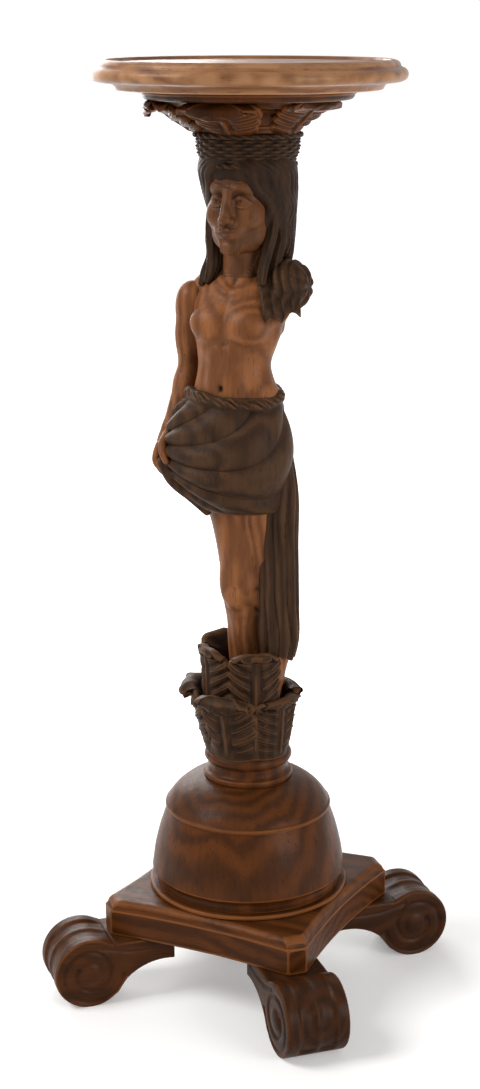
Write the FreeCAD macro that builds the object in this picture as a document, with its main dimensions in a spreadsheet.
import FreeCAD, Part
import math
import os
import re
import Sketcher
from FreeCAD import Placement, Rotation, Vector

# Driving sizes in millimetres, angles in degrees.
# The stand rests on z = 0, its axis is x = y = 0, and the carved figure looks along -y.
SIZES = {
    # scroll feet, measured along the diagonal from the axis of the stand
    "foot_width": 66,
    "foot_roll_radius": 38,
    "foot_roll_reach": 183,
    "foot_roll_stand": 8,
    "foot_sole_cut": 1,
    "foot_heel_reach": 92,
    "foot_heel_depth": 26,
    "foot_arch_angle": 25,
    "foot_arch_radius": 62,
    "foot_eye_radius": 12,
    "foot_eye_stand": 3,
    # pegs between feet and plate
    "peg_radius": 5,
    "peg_length": 34,
    "peg_near_reach": 108,
    "peg_far_reach": 138,
    # square plate with incurved sides
    "plate_half": 117,
    "plate_corner": 14,
    "plate_incurve": 7,
    "plate_thickness": 38,
    "plate_bevel": 4,
    # turned base: ring, drum, dome and the small plinth of the figure
    "ring_radius": 105,
    "ring_height": 5,
    "drum_height": 83,
    "drum_foot_radius": 97,
    "drum_foot_height": 5,
    "drum_belly_radius": 102,
    "drum_cove_height": 10,
    "drum_cove_radius": 12,
    "drum_side_radius": 230,
    "drum_top_radius": 85,
    "dome_radius": 87,
    "dome_lip_height": 4,
    "dome_height": 33,
    "dome_side_radius": 66,
    "dome_top_radius": 47,
    "plinth_radius": 46,
    "plinth_foot_height": 7,
    "plinth_waist_radius": 41,
    "plinth_cove_radius": 9,
    "plinth_cove_height": 7,
    "plinth_neck_height": 4,
    "plinth_bead_height": 12,
    "plinth_bead_radius": 7,
    # threaded rod that draws the base together, with its nut and washer under the plate
    "rod_radius": 6,
    "rod_bite": 56,
    "rod_room": 0.5,
    "rod_tail": 2.5,
    "nut_flats": 19,
    "nut_height": 10,
    "washer_radius": 16,
    "washer_thickness": 2.5,
    "recess_radius": 20,
    "recess_depth": 17,
    # wood screws: four under the plate into the drum, four under the capital into the top
    "screw_radius": 2.5,
    "screw_head_radius": 4.5,
    "screw_head_height": 3,
    "screw_head_room": 1,
    "drum_screw_circle": 68,
    "drum_screw_bite": 26,
    "drum_screw_seat": 18,
    "top_screw_circle": 74,
    "top_screw_bite": 17,
    "top_screw_seat": 11,
    # close fits and the room left at the ends of pegs, pins and screws
    "fit": 0.05,
    "end_room": 0.5,
    # stump inside the leaves, on which the figure stands
    "stump_radius": 37,
    "stump_top_radius": 27,
    "stump_height": 74,
    # lower leaves, most of them with the tip curled out
    "low_leaf_root_reach": 38,
    "low_leaf_root_wide": 24,
    "low_leaf_root_thick": 7,
    # upper leaves, close to the shins
    "high_leaf_root_reach": 35,
    "high_leaf_root_wide": 21,
    "high_leaf_root_thick": 7,
    # blind pins that hold the leaves on the stump
    "pin_radius": 1.5,
    "pin_rise": 12,
    "pin_stump_bite": 8,
    "pin_leaf_bite": 4,
    # dowels inside the figure
    "waist_dowel_radius": 10,
    "waist_dowel_length": 64,
    "neck_dowel_radius": 8,
    "neck_dowel_length": 48,
    "arm_dowel_radius": 4,
    "arm_dowel_length": 34,
    "head_dowel_radius": 9,
    "head_dowel_bite": 22,
    "capital_dowel_bite": 24,
    # head, and the basket that it carries
    "head_rise": 69,
    "head_x": 0,
    "head_y": -8,
    "head_half_width": 32,
    "head_half_depth": 41,
    "head_half_height": 46,
    "basket_rise": 101,
    "basket_foot_radius": 47,
    "basket_radius": 52,
    "basket_height": 35,
    "basket_side_radius": 45,
    # pelvis between legs and torso
    "pelvis_rise": 25,
    "pelvis_height": 50,
    "pelvis_low_wide": 38,
    "pelvis_low_deep": 30,
    # knot of the cloak on the left shoulder
    "knot_x": 45,
    "knot_y": -2,
    "knot_rise": 18,
    "knot_half_width": 26,
    "knot_half_depth": 25,
    "knot_half_height": 27,
    # carved capital under the top
    "capital_height": 39,
    "capital_foot_radius": 53,
    "capital_foot_height": 6,
    "capital_lip_radius": 99,
    "capital_lip_rise": 21,
    "capital_side_radius": 70,
    "capital_top_radius": 105,
    # round top with a shallow dish
    "top_radius": 154,
    "top_cove_width": 18,
    "top_cove_height": 8,
    "top_cove_radius": 16,
    "top_nose_height": 14,
    "top_nose_depth": 6,
    "top_nose_radius": 7.5,
    "top_bevel": 6,
    "top_rim_width": 5,
    "top_dish_depth": 3,
    "top_dish_slope": 5,
}

# Levels of the carved forms: rise above the level before, place of the middle, half width and half depth.
TORSO = {
    "seat": (0, -8, -19, 48, 40),
    "belly": (25, -6, -21, 46, 38),
    "navel": (45, -2, -22, 41, 34),
    "waist": (23, -5, -22, 37, 30),
    "ribs": (22, -2, -21, 42, 34),
    "chest": (18, -1, -19, 46, 36),
    "collar": (20, 0, -15, 46, 32),
    "shoulder": (16, -1, -11, 34, 25),
    "throat": (13, -1, -7, 23, 20),
}
HAIR = {
    "ends": (12, 3, 11, 39, 20),
    "locks": (22, 3, 9, 41, 28),
    "nape": (25, 2, 7, 44, 36),
    "temples": (25, 1, 5, 48, 41),
    "crown": (22, 0, 2, 48, 42),
    "crown_top": (12, 0, 1, 42, 37),
}
DRAPE = {
    "hem": (-56, -7, -16, 52, 43),
    "swag": (14, -9, -20, 58, 50),
    "low": (19, -12, -24, 67, 58),
    "full": (24, -12, -23, 70, 61),
    "upper": (28, -11, -22, 66, 55),
    "fold": (22, -8, -21, 56, 46),
    "rim": (13, -4, -21, 45, 38),
}
TAIL = {
    "end": (108, 39, -10, 15, 10),
    "flare": (18, 40, -10, 22, 15),
    "low": (38, 40, -10, 22, 16),
    "mid": (60, 39, -10, 22, 17),
    "upper": (60, 37, -9, 22, 18),
    "tuck": (50, 26, -8, 20, 17),
}
BACK_FOLD = {
    "hip_end": (63, -26, 4, 26, 12),
    "small": (30, -14, 3, 27, 12),
    "blade": (37, 12, 9, 30, 14),
    "top": (38, 34, 3, 24, 18),
}
# Legs: rise, then place and radius of the right leg, then of the left leg, which is set back.
LEGS = {
    "foot": (6, -4, 0, 13, 12, 8, 13),
    "ankle": (28, -4, 0, 12.5, 13, 9, 12.5),
    "shin": (40, -3, 1, 15.5, 19, 11, 15.5),
    "calf": (40, -2, 1, 19, 22, 13, 18),
    "under_knee": (30, -2, -4, 18.5, 23, 9, 18),
    "knee": (25, -2, -9, 20, 23, 5, 19.5),
    "over_knee": (35, -3, -11, 21.5, 23, 2, 21.5),
    "thigh": (40, -7, -13, 24, 19, -6, 23),
    "groin": (50, -20, -16, 26, 10, -13, 25),
}
# Right arm, from the shoulder down: drop, distance out from the side of the chest, place, half sizes.
ARM = {
    "cap": (-13, 4, -13, 11, 10),
    "deltoid": (18, 9, -15, 17, 15.5),
    "biceps": (33, 11.5, -13, 14.5, 13),
    "elbow": (37, 12, -14, 13.5, 12),
    "forearm": (26, 14, -26, 13, 11.5),
    "wrist": (24, 15, -36, 10.5, 9),
    "palm": (13, 15, -39, 13, 11),
    "fingers": (15, 14, -41, 9, 8),
}
NECK = {
    "base": (0, -1, -7, 22, 19),
    "middle": (16, -1, -6, 21, 19),
    "top": (22, 0, -5, 22, 21),
}
# Leaves above their root: rise, reach from the axis, lean from upright, half width and half thickness.
OPEN_LEAF = {
    "belly": (30, 45, 14, 30, 8),
    "neck": (25, 53, 32, 28, 7),
    "curl": (12, 60, 72, 19, 5.5),
    "tip": (-3, 65, 125, 8, 3),
}
CLOSE_LEAF = {
    "belly": (28, 42, 8, 30, 8),
    "neck": (20, 45, 14, 27, 7),
    "curl": (11, 49, 40, 19, 5.5),
    "tip": (3, 54, 80, 8, 3),
}
HIGH_LEAF = {
    "belly": (40, 38, 3, 25, 10),
    "neck": (38, 39, 6, 24, 9),
    "curl": (25, 43, 22, 17, 6.5),
    "tip": (12, 49, 50, 6, 3),
}
LEAF_LEVELS = {"open_leaf": OPEN_LEAF, "close_leaf": CLOSE_LEAF, "high_leaf": HIGH_LEAF}
LOW_LEAVES = ((270, "open_leaf"), (342, "close_leaf"), (54, "close_leaf"), (126, "open_leaf"),
              (198, "open_leaf"))
HIGH_LEAVES = ((306, "high_leaf"), (90, "high_leaf"), (162, "high_leaf"), (234, "high_leaf"))
FEET = {"back_right": 45, "back_left": 135, "front_left": 225, "front_right": 315}
SCREW_ANGLES = (0, 90, 180, 270)


def add_levels(piece, table, columns):
    """Give every number of a level table a size of its own on the sheet."""
    for level, row in table.items():
        for column, size in zip(columns, row):
            SIZES[f"{piece}_{level}_{column}"] = size


BODY_COLUMNS = ("rise", "x", "y", "wide", "deep")
LEAF_COLUMNS = ("rise", "reach", "lean", "wide", "thick")
for body_name, body_table in (("torso", TORSO), ("hair", HAIR), ("drape", DRAPE), ("tail", TAIL),
                              ("back_fold", BACK_FOLD), ("neck", NECK)):
    add_levels(body_name, body_table, BODY_COLUMNS)
add_levels("arm", ARM, ("drop", "out", "y", "wide", "deep"))
add_levels("leg", LEGS, ("rise", "right_x", "right_y", "right_radius", "left_x", "left_y", "left_radius"))
for leaf_kind, leaf_table in LEAF_LEVELS.items():
    add_levels(leaf_kind, leaf_table, LEAF_COLUMNS)

doc = FreeCAD.newDocument("carved_plant_stand")
sheet = doc.addObject("Spreadsheet::Sheet", "Sizes")
for row_number, (alias, size) in enumerate(SIZES.items(), start=1):
    sheet.set(f"A{row_number}", alias)
    sheet.set(f"B{row_number}", str(size))
    sheet.setAlias(f"B{row_number}", alias)
doc.recompute()

nodes = []


def on_sheet(text):
    """The expression with each size name read from the sheet."""
    return re.sub(r"[a-z]\w*", lambda word: f"Sizes.{word[0]}" if word[0] in SIZES else word[0], text)


def number(text):
    """The value that an expression has now."""
    return float(sheet.evalExpression(on_sheet(text)))


def bind(item, **expressions):
    """Tie properties to expressions; place_x, place_y and place_z stand for the placement."""
    for name, text in expressions.items():
        path = re.sub(r"^place_", "Placement.Base.", name)
        item.setExpression(path, on_sheet(text))


def finished(item, label):
    """Mark an object as one piece of the stand."""
    item.Label = label
    nodes.append(item)
    return item


# Heights of the joints between the stacked pieces, as expressions
def above(height, *sizes):
    return " + ".join((height, *sizes))


def rises(piece, table):
    return [f"{piece}_{level}_rise" for level in table]


plate_bottom = "(2 * foot_roll_radius - foot_sole_cut - foot_roll_stand)"
ring_bottom = above(plate_bottom, "plate_thickness")
drum_bottom = above(ring_bottom, "ring_height")
dome_bottom = above(drum_bottom, "drum_height")
plinth_bottom = above(dome_bottom, "dome_height")
plinth_height = "plinth_foot_height + plinth_cove_height + plinth_neck_height + plinth_bead_height"
figure_bottom = above(plinth_bottom, plinth_height)
hip_level = above(figure_bottom, *rises("leg", LEGS), "pelvis_rise")
collar_level = above(hip_level, *rises("torso", TORSO)[:-2])
throat_level = above(hip_level, *rises("torso", TORSO))
basket_bottom = above(throat_level, "basket_rise")
capital_bottom = above(basket_bottom, "basket_height")
top_bottom = above(capital_bottom, "capital_height")
chest_side = "torso_chest_x - torso_chest_wide"


# Sketch outlines
def on_plane(body, name, role, level="0"):
    sketch = body.newObject("Sketcher::SketchObject", name)
    plane = next(feature for feature in body.Origin.OriginFeatures if feature.Role == role)
    sketch.AttachmentSupport = [(plane, "")]
    sketch.MapMode = "FlatFace"
    sketch.setExpression("AttachmentOffset.Base.z", on_sheet(level))
    return sketch


def pin_point(sketch, side, end, x, y):
    """Hold one end of a side at a place given by two expressions."""
    for kind, text, axis in (("DistanceX", x, -2), ("DistanceY", y, -1)):
        if text == "0":
            sketch.addConstraint(Sketcher.Constraint("PointOnObject", side, end, axis))
        else:
            index = sketch.addConstraint(Sketcher.Constraint(kind, -1, 1, side, end, number(text)))
            sketch.setExpression(f"Constraints[{index}]", on_sheet(text))


def arc_between(start, end, radius):
    """Arc from start to end that turns left for a positive radius and right for a negative one."""
    chord = end - start
    left = Vector(-chord.y, chord.x, 0).normalize()
    reach = math.sqrt(max(radius ** 2 - chord.Length ** 2 / 4, 0))
    centre = (start + end) * 0.5 + left * math.copysign(reach, radius)
    first, last = (start, end) if radius > 0 else (end, start)
    angles = [math.atan2(point.y - centre.y, point.x - centre.x) for point in (first, last)]
    return Part.ArcOfCircle(Part.Circle(centre, Vector(0, 0, 1), abs(radius)), *angles)


def outline(sketch, corners, arcs):
    """Closed outline through corners; arcs gives the radius of the side that starts at a corner."""
    points = [Vector(number(x), number(y), 0) for x, y in corners]
    ends = []
    for side, start in enumerate(points):
        end = points[(side + 1) % len(points)]
        if side in arcs:
            radius = number(arcs[side])
            sketch.addGeometry(arc_between(start, end, radius), False)
            ends.append((1, 2) if radius > 0 else (2, 1))
        else:
            sketch.addGeometry(Part.LineSegment(start, end), False)
            ends.append((1, 2))
    for side, (x, y) in enumerate(corners):
        before = side - 1 if side else len(corners) - 1
        joint = Sketcher.Constraint("Coincident", before, ends[before][1], side, ends[side][0])
        sketch.addConstraint(joint)
        pin_point(sketch, side, ends[side][0], x, y)
    for side, text in arcs.items():
        index = sketch.addConstraint(Sketcher.Constraint("Radius", side, abs(number(text))))
        sketch.setExpression(f"Constraints[{index}]", on_sheet(f"abs({text})"))


def circles(sketch, places):
    """Circles given as expressions for x, y and radius."""
    for index, (x, y, radius) in enumerate(places):
        centre = Vector(number(x), number(y), 0)
        sketch.addGeometry(Part.Circle(centre, Vector(0, 0, 1), number(radius)), False)
        pin_point(sketch, index, 3, x, y)
        size = sketch.addConstraint(Sketcher.Constraint("Radius", index, number(radius)))
        sketch.setExpression(f"Constraints[{size}]", on_sheet(radius))


def around(reach, angles):
    """Places on a circle, as pairs of expressions."""
    places = []
    for angle in angles:
        x = "0" if angle % 180 == 90 else f"{reach} * cos({angle} deg)"
        y = "0" if angle % 180 == 0 else f"{reach} * sin({angle} deg)"
        places.append((x, y))
    return places


# Features
def turned(label, bottom, corners, arcs):
    """A piece turned on the axis of the stand from a half profile of radius and height."""
    body = doc.addObject("PartDesign::Body", label)
    profile = on_plane(body, f"{label}_profile", "XZ_Plane")
    outline(profile, corners, arcs)
    turning = body.newObject("PartDesign::Revolution", f"{label}_turning")
    turning.Profile = profile
    turning.ReferenceAxis = (profile, ["V_Axis"])
    turning.Angle = 360
    bind(body, place_z=bottom)
    doc.recompute()
    return finished(body, label)


def bored(body, name, places, level, depth):
    """Round holes in a body, from a level upwards."""
    before = body.Shape.Volume
    holes = on_plane(body, f"{name}_circles", "XY_Plane", level)
    circles(holes, places)
    pocket = body.newObject("PartDesign::Pocket", name)
    pocket.Profile = holes
    pocket.Reversed = True
    bind(pocket, Length=depth)
    doc.recompute()
    if body.Shape.Volume >= before:
        raise RuntimeError(f"{name} removes nothing")


def rod(name, radius, length, x="0", y="0", z="0"):
    item = doc.addObject("Part::Cylinder", name)
    bind(item, Radius=radius, Height=length, place_x=x, place_y=y, place_z=z)
    return item


def joined(name, *shapes):
    item = doc.addObject("Part::MultiFuse", name)
    item.Shapes = list(shapes)
    return item


def grouped(name, shapes):
    item = doc.addObject("Part::Compound", name)
    item.Links = list(shapes)
    return item


def less(name, base, *tools):
    """A shape with others taken out of it, one after the other."""
    for count, tool in enumerate(tools, start=1):
        cut = doc.addObject("Part::Cut", f"{name}_cut_{count}")
        cut.Base = base
        cut.Tool = tool
        cut.Refine = False
        base = cut
    return base


def ellipse(name, wide, deep, x, y, z):
    ring = doc.addObject("Part::Ellipse", name)
    bind(ring, MajorRadius=wide, MinorRadius=deep, place_x=x, place_y=y, place_z=z)
    return ring


def lofted(name, sections):
    item = doc.addObject("Part::Loft", name)
    item.Sections = sections
    item.Solid = True
    return item


def carved(piece, table, bottom):
    """A rounded form through the levels of a table."""
    sections = []
    level_height = bottom
    for level in table:
        key = f"{piece}_{level}"
        level_height = above(level_height, f"{key}_rise")
        sections.append(ellipse(key, f"{key}_wide", f"{key}_deep", f"{key}_x", f"{key}_y", level_height))
    return lofted(f"{piece}_form", sections)


def ball(name, wide, deep, high, x, y, z):
    item = doc.addObject("Part::Ellipsoid", name)
    item.Angle1 = -90
    item.Angle2 = 90
    bind(item, Radius1=high, Radius2=wide, Radius3=deep, place_x=x, place_y=y, place_z=z)
    return item


# Turned base
hole = "rod_radius + rod_room"

turned("drum_ring", ring_bottom, [
    ("0", "0"),
    ("ring_radius - ring_height / 2", "0"),
    ("ring_radius", "ring_height / 2"),
    ("ring_radius - ring_height / 2", "ring_height"),
    ("0", "ring_height"),
], {1: "ring_height / 2", 2: "ring_height / 2"})
turned("drum", drum_bottom, [
    ("0", "0"),
    ("drum_foot_radius", "0"),
    ("drum_foot_radius", "drum_foot_height"),
    ("drum_belly_radius", "drum_foot_height + drum_cove_height"),
    ("drum_top_radius", "drum_height"),
    ("0", "drum_height"),
], {2: "-drum_cove_radius", 3: "drum_side_radius"})
turned("dome_cap", dome_bottom, [
    ("0", "0"),
    ("dome_radius", "0"),
    ("dome_radius", "dome_lip_height"),
    ("dome_top_radius", "dome_height"),
    ("0", "dome_height"),
], {2: "dome_side_radius"})
turned("figure_plinth", plinth_bottom, [
    ("0", "0"),
    ("plinth_radius", "0"),
    ("plinth_radius", "plinth_foot_height"),
    ("plinth_waist_radius", "plinth_foot_height + plinth_cove_height"),
    ("plinth_waist_radius", "plinth_foot_height + plinth_cove_height + plinth_neck_height"),
    ("plinth_waist_radius", plinth_height),
    ("0", plinth_height),
], {2: "-plinth_cove_radius", 4: "plinth_bead_radius"})
stack = {body.Label: body for body in nodes}
stack_heights = {"drum_ring": "ring_height", "drum": "drum_height", "dome_cap": "dome_height",
                 "figure_plinth": plinth_height}
for label, height in stack_heights.items():
    bored(stack[label], f"{label}_bore", [("0", "0", hole)], "0", height)


# Base plate
def plate():
    body = doc.addObject("PartDesign::Body", "base_plate")
    square = on_plane(body, "plate_outline", "XY_Plane")
    side = "plate_half - plate_corner"
    corners = []
    arcs = {}
    incurve = f"-(({side})^2 + plate_incurve^2) / (2 * plate_incurve)"
    for turn in range(4):
        start = ("plate_half", f"-({side})")
        end = ("plate_half", side)
        arcs[len(corners)] = incurve
        for x, y in (start, end):
            for _ in range(turn):
                x, y = f"-({y})", x
            corners.append((x, y))
    outline(square, corners, arcs)
    pad = body.newObject("PartDesign::Pad", "plate_board")
    pad.Profile = square
    bind(pad, Length="plate_thickness")
    bind(body, place_z=plate_bottom)
    doc.recompute()
    thickness = number("plate_thickness")
    rim = [f"Edge{count}" for count, edge in enumerate(pad.Shape.Edges, start=1)
           if all(abs(vertex.Z - thickness) < 1e-6 for vertex in edge.Vertexes)]
    bevel = body.newObject("PartDesign::Chamfer", "plate_top_edge")
    bevel.Base = (pad, rim)
    bind(bevel, Size="min(plate_bevel; plate_thickness / 3; plate_corner / 3)")
    doc.recompute()
    pegs = [(x, y, "peg_radius + fit") for reach in ("peg_near_reach", "peg_far_reach")
            for x, y in around(reach, FEET.values())]
    screws = around("drum_screw_circle", SCREW_ANGLES)
    bored(body, "plate_peg_holes", pegs, "0", "peg_length / 2 + end_room")
    bored(body, "plate_rod_hole", [("0", "0", hole)], "0", "plate_thickness")
    bored(body, "plate_recess", [("0", "0", "recess_radius")], "0", "recess_depth")
    bored(body, "plate_screw_holes", [(x, y, "screw_radius + fit") for x, y in screws],
          "0", "plate_thickness")
    bored(body, "plate_screw_seats", [(x, y, "screw_head_radius + screw_head_room") for x, y in screws],
          "0", "drum_screw_seat")
    return finished(body, "base_plate")


plate()


# Scroll feet
def foot(label, angle):
    body = doc.addObject("PartDesign::Body", label)
    side = on_plane(body, f"{label}_side", "XZ_Plane")
    roll_height = "(foot_roll_radius - foot_sole_cut)"
    sole_half = f"sqrt(foot_roll_radius^2 - {roll_height}^2)"
    shoulder_back = f"sqrt(foot_roll_radius^2 - ({plate_bottom} - {roll_height})^2)"
    outline(side, [
        ("foot_heel_reach", plate_bottom),
        (f"foot_roll_reach - {shoulder_back}", plate_bottom),
        ("foot_roll_reach + foot_roll_radius", roll_height),
        (f"foot_roll_reach + {sole_half}", "0"),
        (f"foot_roll_reach - {sole_half}", "0"),
        ("foot_roll_reach - foot_roll_radius * cos(foot_arch_angle * 1 deg)",
         f"{roll_height} - foot_roll_radius * sin(foot_arch_angle * 1 deg)"),
        ("foot_heel_reach", f"{plate_bottom} - foot_heel_depth"),
    ], {1: "-foot_roll_radius", 2: "-foot_roll_radius", 4: "-foot_roll_radius", 5: "foot_arch_radius"})
    pad = body.newObject("PartDesign::Pad", f"{label}_block")
    pad.Profile = side
    pad.SideType = "Symmetric"
    bind(pad, Length="foot_width")
    eyes = on_plane(body, f"{label}_eye_circle", "XZ_Plane")
    circles(eyes, [("foot_roll_reach", roll_height, "foot_eye_radius")])
    boss = body.newObject("PartDesign::Pad", f"{label}_eyes")
    boss.Profile = eyes
    boss.SideType = "Symmetric"
    bind(boss, Length="foot_width + 2 * foot_eye_stand")
    doc.recompute()
    pegs = [(reach, "0", "peg_radius + fit") for reach in ("peg_near_reach", "peg_far_reach")]
    depth = "peg_length / 2 + end_room"
    bored(body, f"{label}_peg_holes", pegs, f"{plate_bottom} - ({depth})", depth)
    body.Placement = Placement(Vector(0, 0, 0), Rotation(Vector(0, 0, 1), angle))
    return finished(body, label)


for corner, foot_angle in FEET.items():
    foot(f"{corner}_foot", foot_angle)


def pegs():
    items = []
    for reach in ("peg_near_reach", "peg_far_reach"):
        for x, y in around(reach, FEET.values()):
            bottom = f"{plate_bottom} - peg_length / 2"
            items.append(rod(f"peg_{len(items) + 1}", "peg_radius", "peg_length", x, y, bottom))
    return finished(grouped("peg_group", items), "foot_pegs")


pegs()

# Rod, nut and washer that draw the base and the figure together
recess_top = above(plate_bottom, "recess_depth")
washer_bottom = f"{recess_top} - washer_thickness"
nut_bottom = f"{washer_bottom} - nut_height"
rod_bottom = f"{nut_bottom} - rod_tail"
rod_length = f"({figure_bottom} + rod_bite) - ({rod_bottom})"
finished(rod("rod_bar", "rod_radius", rod_length, z=rod_bottom), "tie_rod")

washer_disc = rod("washer_disc", "washer_radius", "washer_thickness", z=washer_bottom)
washer_hole = rod("washer_hole", "rod_radius + fit", "washer_thickness", z=washer_bottom)
finished(less("washer", washer_disc, washer_hole), "tie_washer")

nut_prism = doc.addObject("Part::Prism", "nut_prism")
nut_prism.Polygon = 6
bind(nut_prism, Circumradius="nut_flats / sqrt(3)", Height="nut_height", place_z=nut_bottom)
nut_hole = rod("nut_hole", "rod_radius + fit", "nut_height", z=nut_bottom)
finished(less("nut", nut_prism, nut_hole), "tie_nut")


def screws(label, circle, seat_height, length):
    """Four screws, heads down, with their seats at one height."""
    items = []
    for x, y in around(circle, SCREW_ANGLES):
        name = f"{label}_{len(items) + 1}"
        head = rod(f"{name}_head", "screw_head_radius", "screw_head_height", x, y,
                   f"{seat_height} - screw_head_height")
        shank = rod(f"{name}_shank", "screw_radius", length, x, y, seat_height)
        items.append(joined(name, head, shank))
    return finished(grouped(f"{label}_group", items), label)


screws("drum_screws", "drum_screw_circle", f"{plate_bottom} + drum_screw_seat",
       "plate_thickness - drum_screw_seat + ring_height + drum_screw_bite")
drum_screw_places = [(x, y, "screw_radius + fit") for x, y in around("drum_screw_circle", SCREW_ANGLES)]
bored(stack["drum_ring"], "ring_screw_holes", drum_screw_places, "0", "ring_height")
bored(stack["drum"], "drum_screw_holes", drum_screw_places, "0", "drum_screw_bite + end_room")


# Legs and stump
def leg(side):
    sections = []
    height = figure_bottom
    for level in LEGS:
        height = above(height, f"leg_{level}_rise")
        ring = doc.addObject("Part::Circle", f"{side}_{level}")
        key = f"leg_{level}_{side}"
        bind(ring, Radius=f"{key}_radius", place_x=f"{key}_x", place_y=f"{key}_y", place_z=height)
        sections.append(ring)
    return lofted(f"{side}_leg", sections)


stump = doc.addObject("Part::Cone", "stump")
bind(stump, Radius1="stump_radius", Radius2="stump_top_radius", Height="stump_height",
     place_z=figure_bottom)
pelvis = lofted("pelvis", [
    ellipse("pelvis_low", "pelvis_low_wide", "pelvis_low_deep", "torso_seat_x", "torso_seat_y",
            f"{hip_level} - pelvis_height"),
    ellipse("pelvis_top", "torso_seat_wide", "torso_seat_deep", "torso_seat_x", "torso_seat_y",
            hip_level),
])
waist_depth = "waist_dowel_length / 2 + end_room"
waist_hole_low = rod("waist_hole_low", "waist_dowel_radius + fit", waist_depth,
                     "torso_seat_x", "torso_seat_y", f"{hip_level} - ({waist_depth})")
rod_hole = rod("legs_rod_hole", "rod_radius + fit", "rod_bite + end_room", z=figure_bottom)
right_leg = leg("right")
left_leg = leg("left")
legs_form = joined("legs_form", stump, right_leg, left_leg, pelvis)
legs_body = less("legs_body", legs_form, waist_hole_low, rod_hole)
finished(rod("waist_dowel_bar", "waist_dowel_radius", "waist_dowel_length",
             "torso_seat_x", "torso_seat_y", f"{hip_level} - waist_dowel_length / 2"), "waist_dowel")

# Torso
waist_hole_high = rod("waist_hole_high", "waist_dowel_radius + fit", waist_depth,
                      "torso_seat_x", "torso_seat_y", hip_level)
neck_depth = "neck_dowel_length / 2 + end_room"
neck_hole_low = rod("neck_hole_low", "neck_dowel_radius + fit", neck_depth,
                    "torso_throat_x", "torso_throat_y", f"{throat_level} - ({neck_depth})")
torso_form = carved("torso", TORSO, hip_level)

# Right arm with the hand at the hip, on a dowel that runs level into the chest
arm_sections = []
arm_height = collar_level
for arm_level in ARM:
    arm_key = f"arm_{arm_level}"
    arm_height = f"{arm_height} - {arm_key}_drop"
    arm_sections.append(ellipse(arm_key, f"{arm_key}_wide", f"{arm_key}_deep",
                                f"{chest_side} - {arm_key}_out", f"{arm_key}_y", arm_height))
arm_form = lofted("arm_form", arm_sections)
dowel_height = f"{collar_level} - arm_cap_drop - arm_deltoid_drop"
dowel_start = f"{chest_side} - arm_deltoid_out - arm_dowel_length / 4"


def level_rod(name, radius, length, x, y, z):
    """A rod that lies along +x."""
    item = rod(name, radius, length, x, y, z)
    item.Placement.Rotation = Rotation(Vector(0, 1, 0), 90)
    return item


arm_hole = level_rod("arm_hole", "arm_dowel_radius + fit", "arm_dowel_length + 2 * end_room",
                     f"{dowel_start} - end_room", "arm_deltoid_y", dowel_height)
finished(level_rod("arm_dowel_bar", "arm_dowel_radius", "arm_dowel_length", dowel_start, "arm_deltoid_y",
                   dowel_height), "arm_dowel")
torso = finished(less("torso_body", torso_form, waist_hole_high, neck_hole_low, arm_hole), "torso")
right_arm = finished(less("arm_body", arm_form, torso_form, arm_hole), "right_arm")

# Head with its hair and neck
head_skull = ball("head_skull", "head_half_width", "head_half_depth", "head_half_height",
                  "head_x", "head_y", f"{throat_level} + head_rise")
head_form = joined("head_form", head_skull, carved("hair", HAIR, throat_level),
                   carved("neck", NECK, throat_level))
neck_hole_high = rod("neck_hole_high", "neck_dowel_radius + fit", neck_depth,
                     "torso_throat_x", "torso_throat_y", throat_level)
head_hole = rod("head_hole", "head_dowel_radius + fit", "head_dowel_bite + basket_height",
                z=f"{basket_bottom} - head_dowel_bite")
head = finished(less("head_body", head_form, neck_hole_high, head_hole), "head")
finished(rod("neck_dowel_bar", "neck_dowel_radius", "neck_dowel_length",
             "torso_throat_x", "torso_throat_y", f"{throat_level} - neck_dowel_length / 2"), "neck_dowel")
head_dowel_length = "head_dowel_bite + basket_height + capital_dowel_bite - 2 * end_room"
finished(rod("head_dowel_bar", "head_dowel_radius", head_dowel_length,
             z=f"{basket_bottom} - head_dowel_bite + end_room"), "head_dowel")

# Basket on the head
basket_body = turned("basket_form", basket_bottom, [
    ("0", "0"),
    ("basket_foot_radius", "0"),
    ("basket_radius", "basket_height"),
    ("0", "basket_height"),
], {1: "basket_side_radius"})
nodes.remove(basket_body)
bored(basket_body, "basket_bore", [("0", "0", "head_dowel_radius + fit")], "0", "basket_height")
finished(less("basket", basket_body, head_form), "head_basket")

# Cloak: knot on the left shoulder, fold down the back, wrap round the hips, tail over the left leg
knot = ball("knot", "knot_half_width", "knot_half_depth", "knot_half_height", "knot_x", "knot_y",
            f"{collar_level} + knot_rise")
cloak_form = joined("cloak_form", knot, carved("back_fold", BACK_FOLD, hip_level))
cloak = finished(less("cloak_body", cloak_form, torso_form, head_form), "shoulder_cloak")
drape_form = carved("drape", DRAPE, hip_level)
drape_tools = (torso_form, pelvis, right_leg, left_leg, arm_form, cloak_form)
drape = finished(less("drape_body", drape_form, *drape_tools), "hip_drapery")
tail_form = carved("tail", TAIL, figure_bottom)
tail = finished(less("tail_body", tail_form, drape_form, left_leg), "cloak_tail")


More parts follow.
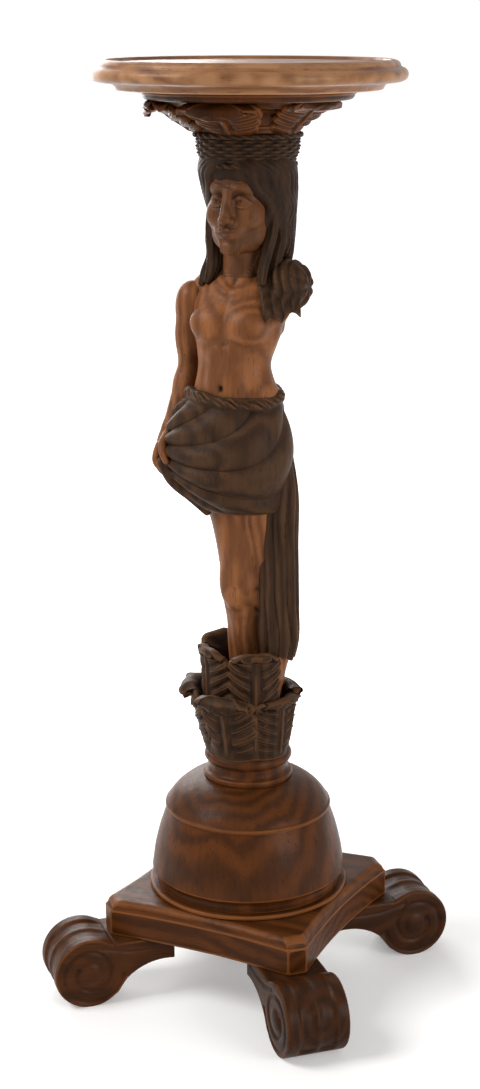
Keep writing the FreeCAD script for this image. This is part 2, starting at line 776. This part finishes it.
# Leaves round the stump
def leaf_form(piece, root, name, angle):
    """A leaf that rises from a flat root and leans out along its midrib."""
    sections = [ellipse(f"{name}_root", f"{root}_wide", f"{root}_thick", f"{root}_reach", "0",
                        figure_bottom)]
    sections[0].Placement.Rotation = Rotation(Vector(0, 0, 1), 90)
    height = figure_bottom
    for level in LEAF_LEVELS[piece]:
        key = f"{piece}_{level}"
        height = above(height, f"{key}_rise")
        section = ellipse(f"{name}_{level}", f"{key}_wide", f"{key}_thick", f"{key}_reach", "0", height)
        lean = Rotation(Vector(0, 1, 0), number(f"{key}_lean"))
        section.Placement.Rotation = lean * Rotation(Vector(0, 0, 1), 90)
        sections.append(section)
    form = lofted(f"{name}_form", sections)
    form.Placement = Placement(Vector(0, 0, 0), Rotation(Vector(0, 0, 1), angle))
    return form


def leaf_pin(name, root, angle, radius, room):
    """A pin from the stump into the root of a leaf."""
    reach = f"({root}_reach - pin_stump_bite - {room})"
    (x, y), = around(reach, [angle])
    length = f"pin_stump_bite + pin_leaf_bite + 2 * {room}"
    item = rod(name, radius, length, x, y, f"{figure_bottom} + pin_rise")
    item.Placement.Rotation = Rotation(Vector(0, 0, 1), angle) * Rotation(Vector(0, 1, 0), 90)
    return item


low_leaves = []
pin_bars = []
pin_holes = []
leaf_bodies = []
for leaf_number, (leaf_angle, leaf_kind) in enumerate(LOW_LEAVES, start=1):
    leaf_name = f"lower_leaf_{leaf_number}"
    low_leaves.append(leaf_form(leaf_kind, "low_leaf_root", leaf_name, leaf_angle))
    pin_bars.append(leaf_pin(f"{leaf_name}_pin", "low_leaf_root", leaf_angle, "pin_radius", "0"))
    pin_holes.append(leaf_pin(f"{leaf_name}_hole", "low_leaf_root", leaf_angle, "pin_radius + fit",
                              "end_room"))
    leaf_bodies.append((leaf_name, low_leaves[-1], (stump, pin_holes[-1])))
for leaf_number, (leaf_angle, leaf_kind) in enumerate(HIGH_LEAVES, start=1):
    leaf_name = f"upper_leaf_{leaf_number}"
    form = leaf_form(leaf_kind, "high_leaf_root", leaf_name, leaf_angle)
    pin_bars.append(leaf_pin(f"{leaf_name}_pin", "high_leaf_root", leaf_angle, "pin_radius", "0"))
    pin_holes.append(leaf_pin(f"{leaf_name}_hole", "high_leaf_root", leaf_angle, "pin_radius + fit",
                              "end_room"))
    leaf_bodies.append((leaf_name, form, (stump, left_leg, tail_form, *low_leaves, pin_holes[-1])))
for leaf_name, form, tools in leaf_bodies:
    finished(less(f"{leaf_name}_body", form, *tools), leaf_name)
finished(grouped("pin_group", pin_bars), "leaf_pins")
legs = finished(less("legs_pinned", legs_body, *pin_holes), "legs")

# Capital and top
capital = turned("capital", capital_bottom, [
    ("0", "0"),
    ("capital_foot_radius", "0"),
    ("capital_foot_radius", "capital_foot_height"),
    ("capital_lip_radius", "capital_foot_height + capital_lip_rise"),
    ("capital_top_radius", "capital_height"),
    ("0", "capital_height"),
], {2: "capital_side_radius"})
top_screw_places = around("top_screw_circle", SCREW_ANGLES)
bored(capital, "capital_bore", [("0", "0", "head_dowel_radius + fit")], "0", "capital_dowel_bite")
bored(capital, "capital_screw_holes", [(x, y, "screw_radius + fit") for x, y in top_screw_places],
      "0", "capital_height")
bored(capital, "capital_screw_seats",
      [(x, y, "screw_head_radius + screw_head_room") for x, y in top_screw_places],
      "0", "capital_height - top_screw_seat")
screws("top_screws", "top_screw_circle", f"{top_bottom} - top_screw_seat",
       "top_screw_seat + top_screw_bite")

nose_top = "top_cove_height + top_nose_height"
top_thickness = f"{nose_top} + top_bevel"
top_shoulder = "top_radius - top_nose_depth"
top_rim = f"{top_shoulder} - top_bevel"
top = turned("top_board", top_bottom, [
    ("0", "0"),
    (f"{top_shoulder} - top_cove_width", "0"),
    (top_shoulder, "top_cove_height"),
    ("top_radius", "top_cove_height + top_nose_height / 2"),
    (top_shoulder, nose_top),
    (top_rim, top_thickness),
    (f"{top_rim} - top_rim_width", top_thickness),
    (f"{top_rim} - top_rim_width - top_dish_slope", f"{top_thickness} - top_dish_depth"),
    ("0", f"{top_thickness} - top_dish_depth"),
], {1: "-top_cove_radius", 2: "top_nose_radius", 3: "top_nose_radius"})
bored(top, "top_screw_holes", [(x, y, "screw_radius + fit") for x, y in top_screw_places],
      "0", "top_screw_bite + end_room")

doc.recompute()

faults = [item.Name for item in doc.Objects if "Invalid" in item.State or "Error" in item.State]
faults += [item.Label for item in nodes if item.Shape.isNull() or not item.Shape.isValid()]
if faults:
    raise RuntimeError("failed: " + ", ".join(faults))
os.makedirs("parts", exist_ok=True)
for item in nodes:
    item.Shape.exportStep(f"parts/{item.Label}.step")
    print(f"{item.Label}: {len(item.Shape.Solids)} solids, {item.Shape.Volume / 1000:.1f} cm3")
